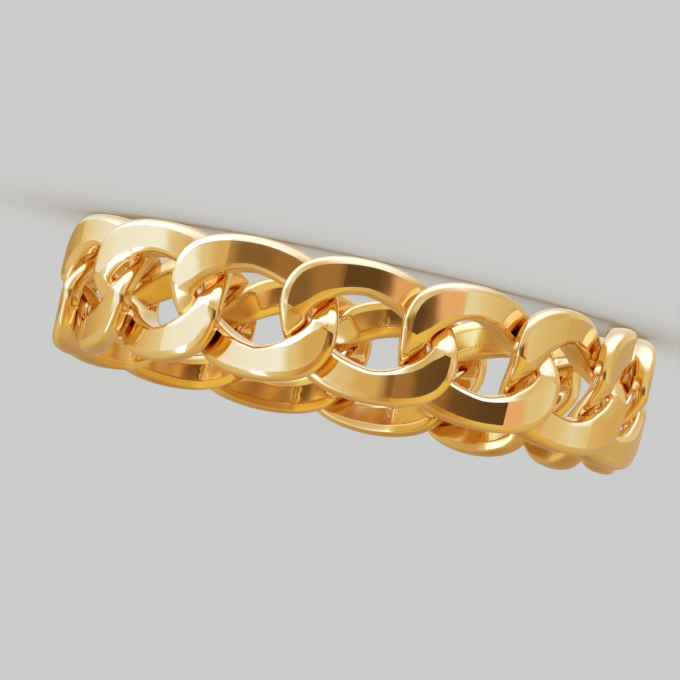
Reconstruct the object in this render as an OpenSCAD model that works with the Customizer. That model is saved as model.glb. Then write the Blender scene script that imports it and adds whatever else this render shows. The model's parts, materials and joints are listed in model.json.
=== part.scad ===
// Finger ring made as one closed loop of flat curb chain.
// Every link is the same twisted oval, wrapped round the finger hole. Seen from outside, its upper
// left and lower right lie on top of its neighbours, and its upper right and lower left pass
// underneath, so that all the links face the same way and any number of them closes the loop.
// The origin is the centre of the finger hole and +Z runs along it.

/* [Band] */
// Radius of the finger hole
bore_r = 8.65; // [7:0.05:11]
// Wall of the band, from the finger hole to its outermost facets
wall = 1.85; // [1.6:0.05:2.4]
// Width of the band along the finger
band_w = 4.9; // [4.2:0.1:6]
// Number of links in the loop
links = 15; // [13:1:17]
// Turn of the first link from the front of the band, in degrees, positive to the right
loop_turn = -3; // [-12:0.5:12]

/* [Link] */
// Width of the wire across the upper and lower arcs of a link
arc_w = 1.25; // [0.9:0.05:1.4]
// Width of the wire across the two ends of a link
end_w = 0.95; // [0.7:0.05:1.1]
// Clear space between two links where one passes over or beside the other
link_gap = 0.12; // [0.1:0.01:0.2]
// How far the shoulders of the outer oval are filled out, where 0 is a plain ellipse
fullness = 0.13; // [0:0.02:0.2]
// Lean of the outer oval, sideways shift for each unit of height
lean = 0.15; // [0:0.01:0.25]
// Lean of the hole, sideways shift for each unit of height
hole_lean = 0.3; // [0:0.02:0.4]
// How straight the sides of the hole run between its tips, where 1 is a plain ellipse
hole_power = 1.3; // [1:0.05:1.5]
// Middle of the link's twist, in degrees past each of its two ends
twist_at = 19; // [14:0.5:20]
// Half the length of the twist, in degrees round the link
twist_run = 28; // [20:0.5:30]
// How far the hole side leans out above, where it passes over
slant = 0.1; // [0:0.01:0.2]

/* [Facets] */
// Distance of the facet's ridge from the middle of the link
ridge_at = 1.12; // [0.6:0.02:1.6]
// Tilt of the outermost facet, in degrees
high_tilt = 8; // [4:0.5:12]
// Tilt of the facet that runs down under the next link, in degrees
low_tilt = 15; // [10:0.5:18]
// Where the underside of an arc meets the finger hole, past the middle of the link
seat_at = 0.7; // [0.3:0.05:1.2]
// Depth that the finger hole is polished into the arcs
polish = 0.03; // [0.01:0.01:0.08]
// Where the facet starts on the hole side of an arc, as a share of half the wire
hole_side = 0.62; // [0.4:0.02:0.8]
// Where the facet stops on the outer side of an arc, as a share of half the wire
rim_side = 0.56; // [0.4:0.02:0.8]
// Where the facet's outer side lies at its pointed end
tip_side = 0.3; // [0.1:0.02:0.5]
// How far before the end of the link the facet comes to its point, in degrees
facet_end = 2; // [0:0.5:6]

/* [Mesh] */
// Sections round one link
stations = 40; // [32:4:48]

/* [Hidden] */

gold = [0.93, 0.72, 0.36];
outer_r = bore_r + wall;
mid_r = bore_r + wall / 2;
step = 360 / links;
pitch = 2 * PI * mid_r / links;

// Half length and half height of the oval outer edge. The hole is as long as the pitch and one
// gap, so that the ends of two links lie side by side in it.
half_l = (pitch + link_gap) / 2 + end_w;
half_h = band_w / 2;

// Radii of the outer facets and of the underside, on the upper arc. The link is outermost at high_at
// from its middle, just before the twist draws its end inwards.
high_share = 0.9;
high_at = high_share * half_l;
ridge_r = outer_r - tan(high_tilt) * (high_at - ridge_at);
function facet_r(u) = ridge_r - tan(u < -ridge_at ? high_tilt : low_tilt) * (u + ridge_at);
over_r = facet_r(pitch / 2) + link_gap;
seat_r = bore_r - polish;
under_slope = (over_r - seat_r) / (pitch / 2 + seat_at);
function under_r(u) = max(seat_r, over_r - under_slope * (u + pitch / 2));

function mix(a, b, share) = a + (b - a) * share;
function ease(share) = let (x = min(1, max(0, share))) x * x * (3 - 2 * x);
function power(x, p) = sign(x) * pow(abs(x), p);

// Share of the upper arc's surfaces at angle t round the oval. The rest is the lower arc's, which
// is the same surface turned half round.
function turned(t) = (t - twist_at + 450) % 360 - 90;
function upper_share(t) = let (a = turned(t)) ease(0.5 + (a < 90 ? a : 180 - a) / (2 * twist_run));

// Outer edge and hole edge of the link at angle t, along the band and along the finger
function oval(t) = let (z = half_h * sin(t) * (1 + fullness * cos(t) * cos(t)))
    [half_l * cos(t) * (1 + fullness * sin(t) * sin(t)) - lean * z, z];
function hole(t) = let (z = (half_h - arc_w) * power(sin(t), hole_power))
    [(half_l - end_w) * power(cos(t), hole_power) - hole_lean * z, z];

// Runs round the link below are in degrees past the pointed end of the last facet, which is 180 at
// the next point.
function past(t) = (t + facet_end) % 180;

// How far the facet is closed: 0 on the arcs, where it is fully wide, and 1 behind its point. The
// power keeps its border on the hole side straight up to the point.
closing_run = 32;
closing_power = 2.4;
opening_at = 20;
opening_run = 30;
function closing(p) = pow(max(0, 1 - (180 - p) / closing_run), closing_power);
function closed(p) = max(closing(p), 1 - ease((p - opening_at) / opening_run));

// 1 at the facet's point, 0 on the arcs
tip_run = 40;
function near_tip(p) = max(ease((p - 180 + tip_run) / tip_run), 1 - ease(p / tip_run));

// 1 where the wire passes over its neighbour
over_at = 90;
over_run = 40;
meet_run = 18;
function over(p) = ease((p - over_at) / over_run) * (1 - ease((p - 180 + meet_run) / meet_run));

// Corners of the wire's outline on its hole side, its belly and its outer side. Each is a share of
// half the width, -1 at the hole edge and 1 at the outer edge, with a share of the height, 0 on the
// underside and 1 on the facet. A shoulder's first number is its share of the way from the facet.
hole_shoulder = [0.7, 0.89];
hole_top = [-1, 0.55];
hole_low = [-1, 0.25];
hole_belly = [-0.8, 0];
rim_belly = [0.76, 0];
rim_low = [0.92, 0.12];
rim_top = [1, 0.6];
rim_shoulder = [0.7, 0.9];

// The same corners where the wire passes over and is cut away below
over_top = [-1, 0.65];
over_low = [-0.6, 0.4];
over_belly = [0.2, 0];

// The fuller shoulder of the hole side where the facet is closed, and the facet's width there
end_shoulder = [0.85, 0.94];
end_top = [-1, 0.75];
closed_w = 0.04;

// The hole side's lean where the wire passes over: outwards above slant_at, inwards below it
slant_at = 0.4;
function leaning(p, place) = place - [2 * slant * over(p) * (place[1] - slant_at), 0];

function outline(t) = let (
    p = past(t),
    rim = mix(rim_side, tip_side, near_tip(p)),
    inner = mix(-hole_side, rim - closed_w, closed(p)),
    shoulder = mix(hole_shoulder, end_shoulder, closed(p))
) [
    [inner, 1],
    leaning(p, [mix(inner, -1, shoulder[0]), shoulder[1]]),
    leaning(p, mix(mix(hole_top, over_top, over(p)), end_top, closed(p))),
    leaning(p, mix(hole_low, over_low, over(p))),
    leaning(p, mix(hole_belly, over_belly, over(p))),
    rim_belly,
    rim_low,
    rim_top,
    [mix(rim, 1, rim_shoulder[0]), rim_shoulder[1]],
    [rim, 1]
];

// A point of the flat pattern, wrapped round the finger hole
function wrap(u, z, r) = let (a = u / mid_r * 180 / PI) [r * sin(a), -r * cos(a), z];

function skin_point(t, p) = let (
    place = mix(oval(t), hole(t), (1 - p[0]) / 2),
    u = place[0],
    top = mix(facet_r(-u), facet_r(u), upper_share(t)),
    bottom = mix(under_r(-u), under_r(u), upper_share(t))
) wrap(u, place[1], mix(bottom, top, p[1]));

// Angle of each section. The sections gather round the two twists.
gather = 9;
function station(i) = let (a = i * 360 / stations) a - gather * sin(2 * (a - twist_at));

sides = len(outline(0));
link_points = [for (i = [0:stations - 1], p = outline(station(i))) skin_point(station(i), p)];
function corner(i, j) = (i % stations) * sides + j % sides;
link_faces = [
    for (i = [0:stations - 1], j = [0:sides - 1]) each [
        [corner(i, j), corner(i, j + 1), corner(i + 1, j + 1)],
        [corner(i, j), corner(i + 1, j + 1), corner(i + 1, j)]
    ]
];

module link(i) {
    color(gold)
        rotate([0, 0, loop_turn + i * step])
            difference() {
                polyhedron(points = link_points, faces = link_faces, convexity = 8);
                cylinder(h = 2 * band_w, r = bore_r, center = true, $fn = 180);
            }
}

for (i = [0:links - 1])
    link(i);
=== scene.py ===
"""Chain link ring in polished yellow gold, with the studio and the camera of its picture."""
import json
import logging
import math
from dataclasses import dataclass
from enum import Enum
from typing import Any, Callable

import bmesh
import bpy
from mathutils import Matrix, Vector


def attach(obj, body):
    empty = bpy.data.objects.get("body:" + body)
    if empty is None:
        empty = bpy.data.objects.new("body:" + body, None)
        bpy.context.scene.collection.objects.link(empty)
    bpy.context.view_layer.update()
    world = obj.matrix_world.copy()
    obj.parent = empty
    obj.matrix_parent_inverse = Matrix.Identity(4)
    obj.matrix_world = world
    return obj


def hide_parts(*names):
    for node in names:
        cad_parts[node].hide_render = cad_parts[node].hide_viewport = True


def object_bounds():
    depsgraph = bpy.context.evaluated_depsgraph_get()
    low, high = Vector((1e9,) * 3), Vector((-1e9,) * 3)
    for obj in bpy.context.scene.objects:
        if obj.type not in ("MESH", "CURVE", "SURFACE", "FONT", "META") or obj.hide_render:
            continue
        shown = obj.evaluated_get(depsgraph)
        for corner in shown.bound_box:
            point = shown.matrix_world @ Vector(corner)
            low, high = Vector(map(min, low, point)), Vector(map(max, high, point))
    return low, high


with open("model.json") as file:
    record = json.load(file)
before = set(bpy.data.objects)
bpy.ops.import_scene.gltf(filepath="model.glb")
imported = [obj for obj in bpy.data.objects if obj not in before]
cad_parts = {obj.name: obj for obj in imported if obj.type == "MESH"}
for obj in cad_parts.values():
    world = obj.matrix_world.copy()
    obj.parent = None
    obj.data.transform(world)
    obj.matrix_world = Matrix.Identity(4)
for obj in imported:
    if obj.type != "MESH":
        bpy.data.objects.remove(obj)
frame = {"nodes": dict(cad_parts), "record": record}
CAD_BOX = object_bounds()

LOG = logging.getLogger("chain_link_ring")
MM = 0.001
MIRRORINGS = 10

Triple = tuple[float, float, float]
Colour = Triple
Point = tuple[float, float]


def mix(first: float, second: float, share: float) -> float:
    """Value between two numbers, where a share of 0 is the first and 1 the second."""
    return first + (second - first) * share


def mix_points(first: Point, second: Point, share: float) -> Point:
    """Point between two points, where a share of 0 is the first and 1 the second."""
    return mix(first[0], second[0], share), mix(first[1], second[1], share)


def between(first: Point, last: Point, steps: int) -> list[Point]:
    """Inner points of a straight line, evenly spaced, without its two ends."""
    return [mix_points(first, last, k / steps) for k in range(1, steps)]


def cut_corners(points: list[Point], rounds: int) -> list[Point]:
    """Rounds an open line by cutting each inner corner at a quarter of its two sides.

    Args:
        points: The line's corners, with the first and the last kept.
        rounds: How many times the corners are cut.

    Returns:
        The rounded line, which stays inside the corners of the first one.
    """
    for _ in range(rounds):
        cut = [place for before, corner, after in zip(points, points[1:], points[2:])
               for place in (mix_points(before, corner, 0.75), mix_points(corner, after, 0.25))]
        points = [points[0], *cut, points[-1]]
    return points


def ease(share: float) -> float:
    """Share from 0 to 1 that starts and ends gently, held at 0 and 1 outside them."""
    share = min(1.0, max(0.0, share))
    return share * share * (3 - 2 * share)


def power(value: float, exponent: float) -> float:
    """Power of a number that keeps its sign."""
    return math.copysign(abs(value) ** exponent, value)


@dataclass(frozen=True)
class Output:
    """One output of a shader node, which takes part in arithmetic with numbers and other outputs."""

    shader: "Shader"
    socket: bpy.types.NodeSocket

    def _maths(self, operation: str, first: Any, second: Any) -> "Output":
        """Adds one Math node for two values."""
        return self.shader.node("ShaderNodeMath", {"operation": operation}, {0: first, 1: second})

    def __add__(self, other: Any) -> "Output":
        """Sum with a value."""
        return self._maths("ADD", self, other)

    def __radd__(self, other: Any) -> "Output":
        """Sum with a value on the left."""
        return self._maths("ADD", other, self)

    def __sub__(self, other: Any) -> "Output":
        """Difference with a value."""
        return self._maths("SUBTRACT", self, other)

    def __rsub__(self, other: Any) -> "Output":
        """Difference from a value on the left."""
        return self._maths("SUBTRACT", other, self)

    def __mul__(self, other: Any) -> "Output":
        """Product with a value."""
        return self._maths("MULTIPLY", self, other)

    def __rmul__(self, other: Any) -> "Output":
        """Product with a value on the left."""
        return self._maths("MULTIPLY", other, self)


class Shader:
    """Writes the node tree of a material or of the world."""

    def __init__(self, owner: bpy.types.Material | bpy.types.World) -> None:
        """Starts an empty tree.

        Args:
            owner: The material or the world that takes it.
        """
        owner.use_nodes = True
        self.tree = owner.node_tree
        self.tree.nodes.clear()

    def node(self, kind: str, settings: dict[str, Any] | None = None, sockets: dict[Any, Any] | None = None,
             output: int | str = 0) -> Output:
        """Adds a node of any kind.

        Args:
            kind: The node's type.
            settings: Its own settings, set before its sockets. "stops" fills a colour ramp with
                pairs of a position and a colour.
            sockets: A value or an output for each of its inputs, by name or number.
            output: The output that is handed back, by name or number.

        Returns:
            The chosen output, or the first input of a node that has no outputs.
        """
        made = self.tree.nodes.new(kind)
        for name, value in (settings or {}).items():
            if name == "stops":
                self._fill(made.color_ramp, value)
            else:
                setattr(made, name, value)
        for name, value in (sockets or {}).items():
            if isinstance(value, Output):
                self.tree.links.new(value.socket, made.inputs[name])
            else:
                made.inputs[name].default_value = value
        return Output(self, made.outputs[output] if len(made.outputs) else made.inputs[0])

    @staticmethod
    def _fill(ramp: bpy.types.ColorRamp, stops: list[tuple[float, Colour]]) -> None:
        """Gives a colour ramp its stops.

        Args:
            ramp: The ramp of a new node, with two stops of its own.
            stops: Two or more pairs of a position and a colour, in order.
        """
        while len(ramp.elements) < len(stops):
            ramp.elements.new(1.0)
        for element, (position, colour) in zip(ramp.elements, stops):
            element.position = position
            element.color = (*colour, 1)

    def range(self, value: Output, low: float, high: float, first: float = 0.0, last: float = 1.0) -> Output:
        """Maps a range of a value smoothly to another range, held at its ends."""
        return self.node("ShaderNodeMapRange", {"interpolation_type": "SMOOTHSTEP"},
                         {"Value": value, "From Min": low, "From Max": high, "To Min": first, "To Max": last})

    def blend(self, share: Any, first: Any, second: Any) -> Output:
        """Mixes two colours, where a share of 0 is the first."""
        return self.node("ShaderNodeMix", {"data_type": "RGBA"},
                         {0: share, 6: self._rgba(first), 7: self._rgba(second)}, 2)

    @staticmethod
    def _rgba(colour: Any) -> Any:
        """A colour with its alpha, or an output as it is."""
        return colour if isinstance(colour, Output) else (*colour, 1)

    def noise(self, place: Output, size_mm: float, detail: float = 2.0,
              stretch: Triple = (1, 1, 1)) -> Output:
        """Soft noise with a grain of some size.

        Args:
            place: The position that it reads, in metres.
            size_mm: The size of its grain.
            detail: How many finer layers it holds.
            stretch: How many times longer the grain is along each axis.

        Returns:
            The noise, about 0.5 on average.
        """
        scale = tuple(1 / (size_mm * MM * s) for s in stretch)
        scaled = self.node("ShaderNodeVectorMath", {"operation": "MULTIPLY"}, {0: place, 1: scale})
        return self.node("ShaderNodeTexNoise", {}, {"Vector": scaled, "Scale": 1.0, "Detail": detail})


@dataclass(frozen=True)
class PolishedGold:
    """Yellow gold, cut bright on its facets and polished by hand round them.

    A tint is the share of another colour: on the finger's side and on the sheltered sides the least,
    as soft clouds add to it, and on the worn edges the greatest. The darker copper colour of the
    sheltered sides, low on the wire where the links cross, is painted shade. The levels of a noise are
    where its effect starts and where it is full. Waves, grain and cuts are bumps, far too low to change
    the shape.
    """

    colour: Colour = (0.93, 0.70, 0.345)
    roughness: float = 0.085
    facet_roughness: float = 0.04

    bore_colour: Colour = (0.975, 0.72, 0.25)
    bore_tint: float = 0.7
    # Painted shade: the darker copper colour of the low sheltered sides where links cross, which are also a
    # little rougher
    painted_shade_colour: Colour = (0.74, 0.44, 0.13)
    painted_shade_tint: float = 0.6
    shelter_roughness: float = 0.035
    worn_colour: Colour = (0.95, 0.77, 0.46)
    worn_tint: float = 0.8
    worn_roughness: float = 0.08
    worn_levels: Point = (0.35, 0.7)

    cloud_mm: float = 1.6
    cloud_tint: float = 0.3
    cloud_levels: Point = (0.35, 0.65)
    grain_mm: float = 0.18
    grain_roughness: float = 0.05
    grain_depth_mm: float = 0.00016
    wave_mm: float = 0.75
    wave_depth_mm: float = 0.0016
    cut_mm: float = 0.045
    cut_length: float = 14
    cut_depth_mm: float = 0.00008

    def build(self) -> bpy.types.Material:
        """Makes the material. It reads four masks of the mesh: the facet, its edges, the finger's side, and
        the low sheltered sides, where it paints shade.

        Returns:
            The material.
        """
        material = bpy.data.materials.new("polished_gold")
        shader = Shader(material)
        place = shader.node("ShaderNodeTexCoord", output="Object")
        pattern = shader.node("ShaderNodeAttribute", {"attribute_name": "pattern"}, output="Vector")
        facet, edge, bore, shelter = (
            shader.node("ShaderNodeAttribute", {"attribute_name": name}, output="Fac")
            for name in ("facet", "edge", "bore", "shelter"))
        cloud = shader.range(shader.noise(place, self.cloud_mm), *self.cloud_levels) * self.cloud_tint
        grain = shader.noise(place, self.grain_mm, 3)
        wave = shader.noise(place, self.wave_mm, 1)
        cut = shader.noise(pattern, self.cut_mm, 1, (1, self.cut_length, 1))
        worn = edge * shader.range(grain, *self.worn_levels) * self.worn_tint
        tone = shader.blend(bore * (cloud + self.bore_tint), self.colour, self.bore_colour)
        # Painted shade: the low sheltered sides, where the links cross, take a darker copper colour
        tone = shader.blend(shelter * (cloud + self.painted_shade_tint), tone, self.painted_shade_colour)
        tone = shader.blend(worn, tone, self.worn_colour)
        rough = self.roughness + (self.facet_roughness - self.roughness) * facet
        rough = rough + shelter * self.shelter_roughness + edge * grain * self.worn_roughness
        rough = rough + (grain - 0.5) * self.grain_roughness
        height = wave * self.wave_depth_mm + facet * cut * self.cut_depth_mm
        height = (height + (1 - facet) * grain * self.grain_depth_mm) * MM
        bump = shader.node("ShaderNodeBump", {}, {"Height": height, "Strength": 1.0, "Distance": 1.0})
        metal = shader.node("ShaderNodeBsdfPrincipled", {}, {
            "Base Color": tone, "Metallic": 1.0, "Roughness": rough, "Normal": bump})
        shader.node("ShaderNodeOutputMaterial", {}, {"Surface": metal})
        return material


@dataclass(frozen=True)
class FloorPaper:
    """Smooth pale paper under the ring, with a faint mottle of fibres."""

    colour: Colour = (0.60, 0.61, 0.61)
    roughness: float = 0.8
    shine: float = 0.2
    fibre_mm: float = 0.5
    fibre_shade: float = 0.985
    fibre_levels: Point = (0.3, 0.7)

    def build(self) -> bpy.types.Material:
        """Makes the material.

        Returns:
            The material.
        """
        material = bpy.data.materials.new("floor_paper")
        shader = Shader(material)
        place = shader.node("ShaderNodeTexCoord", output="Object")
        fibres = shader.range(shader.noise(place, self.fibre_mm, 3), *self.fibre_levels)
        darker = tuple(self.fibre_shade * c for c in self.colour)
        paper = shader.node("ShaderNodeBsdfPrincipled", {}, {
            "Base Color": shader.blend(fibres, darker, self.colour),
            "Roughness": self.roughness, "Specular IOR Level": self.shine})
        shader.node("ShaderNodeOutputMaterial", {}, {"Surface": paper})
        return material


@dataclass(frozen=True)
class CurbLink:
    """One curb link: a twisted oval of wire, wrapped round the finger hole. Sizes are in millimetres.

    The flat pattern runs along the band (u) and along the finger (z), and an angle t goes round the
    oval from its right end over the upper arc. A point of the wire's outline has a share of half its
    width, -1 at the hole and 1 at the outer edge, and a share of its height, 1 on the facet.
    """

    bore_r: float
    band_w: float
    links: int
    wall: float = 1.85

    # The leaning ovals of the outer edge and of the hole, and the twist past each end
    arc_w: float = 1.25
    end_w: float = 0.95
    link_gap: float = 0.12
    fullness: float = 0.13
    lean: float = 0.15
    hole_lean: float = 0.3
    hole_power: float = 1.3
    twist_at: float = 19
    twist_run: float = 28

    # The two facets of an arc, and the underside that meets the finger
    ridge_at: float = 1.12
    high_tilt: float = math.radians(8)
    low_tilt: float = math.radians(15)
    high_share: float = 0.9
    seat_at: float = 0.7
    polish: float = 0.03

    # The facet's borders as shares of half the width, and how far it falls to its outer border
    hole_side: float = 0.62
    rim_side: float = 0.56
    tip_side: float = 0.3
    closed_w: float = 0.04
    dome: float = 0.02

    # Where the facet closes, opens and comes to its point, in degrees, with the power of its closing
    facet_end: float = 2
    closing_run: float = 32
    closing_power: float = 2.4
    opening_at: float = 20
    opening_run: float = 30
    tip_run: float = 40

    # Where the wire passes over its neighbour, in degrees, and how far its hole side leans there
    over_at: float = 90
    over_run: float = 40
    meet_run: float = 18
    slant: float = 0.1
    slant_at: float = 0.4

    # Corners of the outline. The first number of a shoulder is its share of the way from the facet.
    rim_shoulder: Point = (0.7, 0.89)
    rim_top: Point = (1, 0.6)
    rim_low: Point = (0.92, 0.12)
    rim_belly: Point = (0.76, 0)
    hole_belly: Point = (-0.8, 0)
    hole_low: Point = (-1, 0.25)
    hole_top: Point = (-1, 0.55)
    hole_shoulder: Point = (0.7, 0.89)

    # The same corners where the wire passes over and is cut away below, and where the facet is closed
    over_belly: Point = (0.2, 0)
    over_low: Point = (-0.6, 0.4)
    over_top: Point = (-1, 0.65)
    end_top: Point = (-1, 0.75)
    end_shoulder: Point = (0.85, 0.94)

    # How high the finger's side and the sheltered sides, which get painted shade, reach for the finish, as
    # shares of the wall
    bore_fade: float = 0.1
    shade_and_dull_top: float = 0.8
    shade_and_dull_fade: float = 0.5

    # The mesh. The sections turn near a ridge, to lie along it, and a closed facet has soft edges.
    stations: int = 216
    facet_steps: int = 5
    belly_steps: int = 4
    corner_rounds: int = 2
    ridge_reach: float = 40
    ridge_between: Point = (90, 170)
    halvings: int = 40
    crisp_until: float = 0.99

    @property
    def mid_r(self) -> float:
        """Radius of the middle of the wall, where the flat pattern keeps its length."""
        return self.bore_r + self.wall / 2

    @property
    def pitch(self) -> float:
        """Length of the band that one link takes up."""
        return 2 * math.pi * self.mid_r / self.links

    @property
    def half_l(self) -> float:
        """Half the length of a link. Its hole takes the ends of both neighbours side by side."""
        return (self.pitch + self.link_gap) / 2 + self.end_w

    @property
    def ridge_r(self) -> float:
        """Radius of the ridge where the two facets of an arc meet."""
        rise = self.high_share * self.half_l - self.ridge_at
        return self.bore_r + self.wall - math.tan(self.high_tilt) * rise

    def facet_r(self, u: float) -> float:
        """Radius of the upper arc's facets."""
        tilt = self.high_tilt if u < -self.ridge_at else self.low_tilt
        return self.ridge_r - math.tan(tilt) * (u + self.ridge_at)

    def under_r(self, u: float) -> float:
        """Radius of the upper arc's underside, which rises over the neighbour on its left.

        Args:
            u: Place along the band, from the middle of the link.

        Returns:
            The radius.
        """
        over_r = self.facet_r(self.pitch / 2) + self.link_gap
        seat_r = self.bore_r - self.polish
        slope = (over_r - seat_r) / (self.pitch / 2 + self.seat_at)
        return max(seat_r, over_r - slope * (u + self.pitch / 2))

    def upper_share(self, t: float) -> float:
        """Share of the upper arc's surfaces at an angle, where the rest is the lower arc's."""
        a = (t - self.twist_at + 90) % 360 - 90
        return ease(0.5 + (a if a < 90 else 180 - a) / (2 * self.twist_run))

    def oval(self, t: float) -> Vector:
        """Point of the outer edge.

        Args:
            t: The angle in degrees.

        Returns:
            The point in the flat pattern.
        """
        s, c = math.sin(math.radians(t)), math.cos(math.radians(t))
        z = self.band_w / 2 * s * (1 + self.fullness * c * c)
        return Vector((self.half_l * c * (1 + self.fullness * s * s) - self.lean * z, z))

    def hole(self, t: float) -> Vector:
        """Point of the hole edge.

        Args:
            t: The angle in degrees.

        Returns:
            The point in the flat pattern.
        """
        s, c = math.sin(math.radians(t)), math.cos(math.radians(t))
        z = (self.band_w / 2 - self.arc_w) * power(s, self.hole_power)
        return Vector(((self.half_l - self.end_w) * power(c, self.hole_power) - self.hole_lean * z, z))

    def ridge_angle(self, edge: Callable[[float], Vector]) -> float:
        """Angle at which one edge of the upper arc crosses the ridge, found by halving.

        Args:
            edge: The edge, as a function from an angle to a point.

        Returns:
            The angle in degrees.
        """
        low, high = self.ridge_between
        for _ in range(self.halvings):
            t = (low + high) / 2
            low, high = (t, high) if edge(t).x > -self.ridge_at else (low, t)
        return low

    def section_line(self, t: float) -> tuple[Vector, Vector]:
        """Line of a section, which turns near a ridge, to lie along it.

        Args:
            t: The section's angle in degrees.

        Returns:
            Its hole edge and its outer edge in the flat pattern.
        """
        ridge = self.ridge_angle(self.oval)
        off = abs((t - ridge + 90) % 180 - 90)
        swing = (self.ridge_angle(self.hole) - ridge) * (1 - ease(off / self.ridge_reach))
        return self.hole(t + swing), self.oval(t)

    def past(self, t: float) -> float:
        """Degrees from the pointed end of the last facet, which are 180 at the next point."""
        return (t + self.facet_end) % 180

    def closed(self, past: float) -> float:
        """How far the facet is closed, from 0 on the arcs to 1 behind its pointed end."""
        closing = max(0.0, 1 - (180 - past) / self.closing_run) ** self.closing_power
        return max(closing, 1 - ease((past - self.opening_at) / self.opening_run))

    def near_tip(self, past: float) -> float:
        """How near the facet's pointed end is, from 0 on the arcs to 1 at the point."""
        return max(ease((past - 180 + self.tip_run) / self.tip_run), 1 - ease(past / self.tip_run))

    def over(self, past: float) -> float:
        """How far the wire has risen over its neighbour, from 0 to 1."""
        risen = ease((past - self.over_at) / self.over_run)
        return risen * (1 - ease((past - 180 + self.meet_run) / self.meet_run))

    def outline(self, t: float) -> list[Point]:
        """Rounded outline of the wire, from the facet's hole side over the facet and round the underside.

        Args:
            t: The section's angle in degrees.

        Returns:
            Shares of half the wire's width and of its height, with the facet's edges at numbers 0 and
            facet_steps.
        """
        past = self.past(t)
        closed, over = self.closed(past), self.over(past)
        rim = mix(self.rim_side, self.tip_side, self.near_tip(past))
        inner = mix(-self.hole_side, rim - self.closed_w, closed)
        outer = [
            (rim, 1 - self.dome * (1 - closed)),
            (mix(rim, 1, self.rim_shoulder[0]), self.rim_shoulder[1]),
            self.rim_top, self.rim_low, self.rim_belly]
        shoulder = mix_points(self.hole_shoulder, self.end_shoulder, closed)
        hole = [
            mix_points(self.hole_belly, self.over_belly, over),
            mix_points(self.hole_low, self.over_low, over),
            mix_points(mix_points(self.hole_top, self.over_top, over), self.end_top, closed),
            (mix(inner, -1, shoulder[0]), shoulder[1])]
        lean = 2 * self.slant * over
        hole = [(share - lean * (height - self.slant_at), height) for share, height in hole] + [(inner, 1)]
        return ([(inner, 1)] + between((inner, 1), outer[0], self.facet_steps)
                + cut_corners(outer, self.corner_rounds)
                + between(outer[-1], hole[0], self.belly_steps)
                + cut_corners(hole, self.corner_rounds)[:-1])

    def skin(self, t: float, line: tuple[Vector, Vector], share: Point) -> tuple[Vector, Vector]:
        """Point of the skin.

        Args:
            t: The section's angle in degrees.
            line: The section's hole edge and outer edge in the flat pattern.
            share: The point's shares of half the width and of the height.

        Returns:
            The point in the ring's frame, in metres, and in the flat pattern with its radius.
        """
        flat = line[0].lerp(line[1], (1 + share[0]) / 2)
        upper = self.upper_share(t)
        top = mix(self.facet_r(-flat.x), self.facet_r(flat.x), upper)
        bottom = mix(self.under_r(-flat.x), self.under_r(flat.x), upper)
        r = max(self.bore_r, mix(bottom, top, share[1]))
        a = flat.x / self.mid_r
        return Vector((r * math.sin(a), -r * math.cos(a), flat.y)) * MM, Vector((flat.x, flat.y, r))

    def add_sections(self, net: bmesh.types.BMesh) -> list[list[bmesh.types.BMVert]]:
        """Adds the points of all sections, with the flat pattern and the masks that the finish reads, one of
        them marking the low sheltered sides for painted shade.

        Args:
            net: The empty mesh that takes the points.

        Returns:
            The points of each section, in the outline's order.
        """
        pattern = net.verts.layers.float_vector.new("pattern")
        masks = {name: net.verts.layers.float.new(name) for name in ("facet", "edge", "bore", "shelter")}
        rings = []
        for t in self.section_angles():
            opened = 1 - self.closed(self.past(t))
            line = self.section_line(t)
            ring = []
            for j, share in enumerate(self.outline(t)):
                place, flat = self.skin(t, line, share)
                height = flat.z - self.bore_r
                bore = ease(1 - height / (self.bore_fade * self.wall))
                # Mask of the low sides of the wire, under its neighbours, for painted shade and a little more
                # roughness
                shelter = ease((self.shade_and_dull_top * self.wall - height) / (self.shade_and_dull_fade * self.wall))
                vert = net.verts.new(place)
                vert[pattern] = flat * MM
                vert[masks["facet"]] = opened * (j <= self.facet_steps)
                vert[masks["edge"]] = opened * (j in (0, self.facet_steps))
                vert[masks["bore"]] = bore
                vert[masks["shelter"]] = (1 - bore) * shelter
                ring.append(vert)
            rings.append(ring)
        return rings

    def section_angles(self) -> list[float]:
        """Angles of the sections. The first one and the middle one lie along the two ridges."""
        start = self.ridge_angle(self.oval)
        return [start + 360 * i / self.stations for i in range(self.stations)]

    def mesh(self) -> bpy.types.Mesh:
        """Builds the link that faces -Y. Its facets have crisp borders and crisp ridges.

        Returns:
            The mesh, with its points in metres.
        """
        net = bmesh.new()
        rings = self.add_sections(net)
        for i, t in enumerate(self.section_angles()):
            ring, after = rings[i], rings[(i + 1) % self.stations]
            for j in range(len(ring)):
                k = (j + 1) % len(ring)
                net.faces.new((ring[j], after[j], after[k], ring[k])).smooth = True
            soft = self.closed(self.past(t)) >= self.crisp_until
            for j in (0, self.facet_steps):
                net.edges.get((ring[j], after[j])).smooth = soft
            if i % (self.stations // 2) == 0:
                for j in range(self.facet_steps):
                    net.edges.get((ring[j], ring[j + 1])).smooth = False
        net.normal_update()
        if net.calc_volume(signed=True) < 0:
            bmesh.ops.reverse_faces(net, faces=net.faces)
        made = bpy.data.meshes.new("curb_link")
        net.to_mesh(made)
        net.free()
        return made


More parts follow.
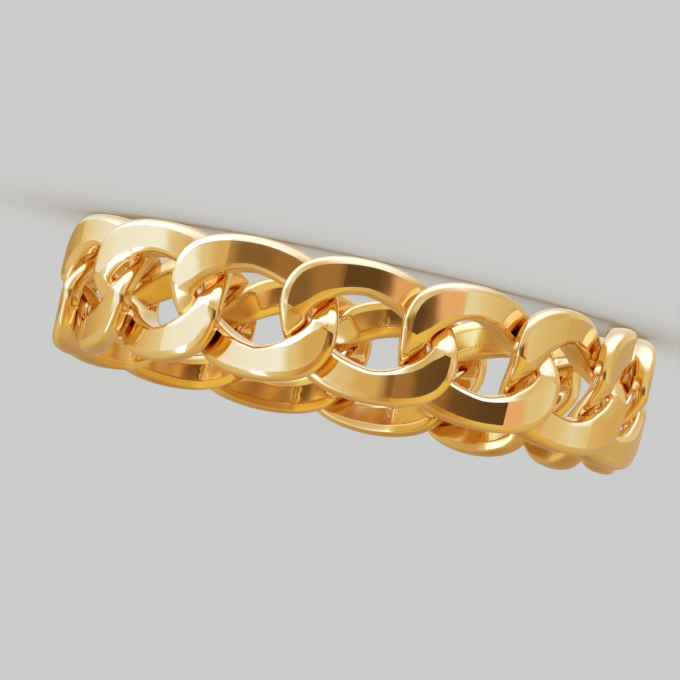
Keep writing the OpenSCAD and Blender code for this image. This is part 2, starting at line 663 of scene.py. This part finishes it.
@dataclass(frozen=True)
class ChainRing:
    """The closed loop of links."""

    link: CurbLink
    first_turn: float = math.radians(-3)

    def build(self, gold: bpy.types.Material) -> list[bpy.types.Object]:
        """Makes one piece for each packed link, in its place, and dresses it.

        Args:
            gold: The finish of every link.

        Returns:
            The pieces.
        """
        shape = self.link.mesh()
        shape.materials.append(gold)
        made = []
        for i, node in enumerate(sorted(frame["nodes"])):
            mesh = shape.copy()
            mesh.transform(Matrix.Rotation(self.first_turn + 2 * math.pi * i / self.link.links, 4, "Z"))
            piece = bpy.data.objects.new(f"curb_{node}", mesh)
            bpy.context.scene.collection.objects.link(piece)
            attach(piece, "root")
            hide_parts(node)
            LOG.info("%s: %d faces", piece.name, len(mesh.polygons))
            made.append(piece)
        bpy.data.meshes.remove(shape)
        return made


class Card(Enum):
    """A card, screen or softbox that the gold sees, as its light in red, green and blue."""

    LAMP = (1.45, 1.75, 2.9)
    WINDOW = (0.97, 1.17, 1.72)
    DAYLIGHT = (0.95, 1.10, 1.50)
    SOFTBOX = (0.84, 0.87, 0.92)
    SCREEN = (0.80, 0.74, 0.55)
    LINEN = (0.75, 0.64, 0.42)
    HONEY = (0.69, 0.53, 0.25)
    SAND = (0.60, 0.46, 0.32)
    BRASS = (0.82, 0.65, 0.18)
    COPPER = (0.74, 0.44, 0.12)
    RUST = (0.52, 0.26, 0.07)
    BLUSH = (0.84, 0.55, 0.39)
    AMBER = (0.50, 0.34, 0.16)
    TAN = (0.36, 0.205, 0.09)
    BROWN = (0.25, 0.145, 0.065)
    UMBER = (0.17, 0.10, 0.048)
    DARK = (0.12, 0.065, 0.032)


Cards = tuple[tuple[float, Card], ...]


@dataclass(frozen=True)
class Studio:
    """Pale floor, soft even light, and the cards round the ring that polished gold mirrors.

    The cards stand in three tiers, high, level with the ring and low, with a zenith above and a nadir
    below them. A card has its azimuth in degrees round the ring, 0 at the front and positive to the
    right, and each tier fades from one card to the next. A height is that of a direction, -1 straight
    down and 1 straight up, and a depth is the same counted downwards. A pair of them is where one
    tier fades into the next. The level cards slant: away from their own height they shift sideways,
    by a slant in radians for each unit of height, more on the right than on the left. The floor isn't
    mirrored by the gold, so that the cards show in the facets as they stand in the picture.
    """

    floor_size: float = 4.0
    fill_light: float = 1.0

    zenith: Colour = (0.66, 0.50, 0.24)
    zenith_heights: Point = (0.75, 1.0)
    high_heights: Point = (0.03, 0.15)
    low_depths: Point = (0.11, 0.24)
    nadir: Colour = (1.30, 1.55, 2.45)
    nadir_depths: Point = (0.6, 0.95)

    level_height: float = -0.13
    left_slant: float = 1.4
    right_slant: float = 4.1
    slant_azimuths: Point = (4, 20)

    high_cards: Cards = (
        (-180, Card.AMBER), (-150, Card.SAND), (-135, Card.SAND), (-105, Card.HONEY), (-60, Card.BRASS),
        (-40, Card.BRASS), (-18, Card.COPPER), (5, Card.RUST), (25, Card.HONEY), (50, Card.SCREEN),
        (62, Card.SOFTBOX), (66, Card.LAMP), (74, Card.LAMP), (80, Card.SOFTBOX), (92, Card.LINEN),
        (115, Card.LINEN), (150, Card.HONEY), (180, Card.AMBER))
    level_cards: Cards = (
        (-180, Card.AMBER), (-160, Card.SAND), (-135, Card.SAND), (-105, Card.HONEY), (-88, Card.LINEN),
        (-77, Card.SCREEN), (-69, Card.SOFTBOX), (-60, Card.SCREEN), (-54, Card.SCREEN), (-51.5, Card.BLUSH),
        (-42, Card.BLUSH), (-38, Card.BROWN), (-33, Card.DARK), (-20, Card.DARK), (-5, Card.UMBER),
        (-2, Card.TAN), (7, Card.TAN), (13, Card.BROWN), (28, Card.BROWN), (34, Card.AMBER),
        (42, Card.HONEY), (54, Card.HONEY), (59, Card.SCREEN), (63, Card.SCREEN), (67, Card.WINDOW),
        (112, Card.DAYLIGHT), (135, Card.SCREEN), (150, Card.HONEY), (165, Card.AMBER), (180, Card.AMBER))
    low_cards: Cards = (
        (-180, Card.SOFTBOX), (-160, Card.SCREEN), (-140, Card.SCREEN), (-120, Card.LINEN),
        (-100, Card.HONEY), (-75, Card.LINEN), (-55, Card.SCREEN), (-30, Card.LINEN), (0, Card.SCREEN),
        (20, Card.HONEY), (40, Card.SCREEN), (55, Card.DAYLIGHT), (66, Card.LAMP), (110, Card.LAMP),
        (130, Card.DAYLIGHT), (155, Card.SOFTBOX), (180, Card.SOFTBOX))

    def build_floor(self, paper: bpy.types.Material) -> bpy.types.Object:
        """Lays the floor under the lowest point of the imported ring.

        Args:
            paper: The floor's finish.

        Returns:
            The floor.
        """
        half = self.floor_size / 2
        low = CAD_BOX[0].z
        mesh = bpy.data.meshes.new("floor")
        mesh.from_pydata([(-half, -half, low), (half, -half, low), (half, half, low), (-half, half, low)],
                         [], [(0, 1, 2, 3)])
        mesh.materials.append(paper)
        floor = bpy.data.objects.new("floor", mesh)
        floor.visible_glossy = False
        bpy.context.scene.collection.objects.link(floor)
        return floor

    @staticmethod
    def tier(shader: Shader, cards: Cards, way: Output) -> Output:
        """Light of one tier of cards.

        Args:
            shader: The world's tree.
            cards: The cards in the order of their azimuths.
            way: The azimuth of the direction that is looked up, in radians.

        Returns:
            The light in that direction.
        """
        stops = [((azimuth + 180) / 360, card.value) for azimuth, card in cards]
        return shader.node("ShaderNodeValToRGB", {"stops": stops}, {"Fac": way * (0.5 / math.pi) + 0.5})

    def build_light(self) -> None:
        """Makes the world: even white light on the floor, and the cards for whatever mirrors them."""
        world = bpy.data.worlds.new("studio")
        bpy.context.scene.world = world
        shader = Shader(world)
        ways = shader.node("ShaderNodeTexCoord", output="Generated")
        x, y, height = (shader.node("ShaderNodeSeparateXYZ", {}, {0: ways}, axis) for axis in range(3))
        depth = 0 - height
        azimuth = shader.node("ShaderNodeMath", {"operation": "ARCTAN2"}, {0: x, 1: 0 - y})
        start, end = map(math.radians, self.slant_azimuths)
        slant = shader.range(azimuth, start, end, self.left_slant, self.right_slant)
        high = self.tier(shader, self.high_cards, azimuth)
        level = self.tier(shader, self.level_cards, azimuth + (height - self.level_height) * slant)
        low = self.tier(shader, self.low_cards, azimuth)
        high = shader.blend(shader.range(height, *self.zenith_heights), high, self.zenith)
        low = shader.blend(shader.range(depth, *self.nadir_depths), low, self.nadir)
        upper = shader.blend(shader.range(height, *self.high_heights), level, high)
        mirrored = shader.blend(shader.range(depth, *self.low_depths), upper, low)
        glossy = shader.node("ShaderNodeLightPath", output="Is Glossy Ray")
        spread = shader.node("ShaderNodeLightPath", output="Diffuse Depth")
        white = (self.fill_light,) * 3
        light = shader.node("ShaderNodeBackground", {}, {
            "Color": shader.blend(glossy * (1 - spread), white, mirrored)})
        shader.node("ShaderNodeOutputWorld", {}, {"Surface": light})


@dataclass(frozen=True)
class PictureCamera:
    """Camera of the picture: nearly edge on to the ring, far away, and turned just over half round."""

    azimuth: float = math.radians(-0.6)
    elevation: float = math.radians(3.3)
    roll: float = math.radians(192.45)
    distance_mm: float = 573
    px_per_mm: float = 28.75
    picture_px: float = 680
    ring_at_px: Point = (353.2, 345.0)
    sensor_mm: float = 36
    clip_m: Point = (0.05, 20)

    def build(self) -> bpy.types.Object:
        """Makes the camera and hands it to the scene.

        Returns:
            The camera.
        """
        data = bpy.data.cameras.new("picture_camera")
        camera = bpy.data.objects.new("picture_camera", data)
        bpy.context.scene.collection.objects.link(camera)
        bpy.context.scene.camera = camera
        back = Vector((math.sin(self.azimuth) * math.cos(self.elevation),
                       -math.cos(self.azimuth) * math.cos(self.elevation), math.sin(self.elevation)))
        level = Vector((math.cos(self.azimuth), math.sin(self.azimuth), 0))
        upright = back.cross(level)
        right = level * math.cos(self.roll) + upright * math.sin(self.roll)
        up = upright * math.cos(self.roll) - level * math.sin(self.roll)
        aside = (self.ring_at_px[0] - self.picture_px / 2) / self.px_per_mm
        down = (self.ring_at_px[1] - self.picture_px / 2) / self.px_per_mm
        place = (back * self.distance_mm - right * aside + up * down) * MM
        camera.matrix_world = Matrix.Translation(place) @ Matrix((right, up, back)).transposed().to_4x4()
        data.sensor_width = self.sensor_mm
        data.lens = self.px_per_mm * self.distance_mm / self.picture_px * self.sensor_mm
        data.clip_start, data.clip_end = self.clip_m
        return camera


def main() -> None:
    """Builds the ring, its studio and its camera."""
    logging.basicConfig(level=logging.INFO, format="%(name)s: %(message)s")
    bore = frame["record"]["mounts"][0]["dims"]["r_mm"]
    band = (CAD_BOX[1].z - CAD_BOX[0].z) / MM
    ring = ChainRing(CurbLink(bore_r=bore, band_w=band, links=len(frame["nodes"])))
    ring.build(PolishedGold().build())
    studio = Studio()
    studio.build_floor(FloorPaper().build())
    studio.build_light()
    PictureCamera().build()
    scene = bpy.context.scene
    scene.view_settings.view_transform = "Standard"
    scene.cycles.glossy_bounces = MIRRORINGS
    LOG.info("ring, studio and camera are ready")


if __name__ == "__main__":
    main()
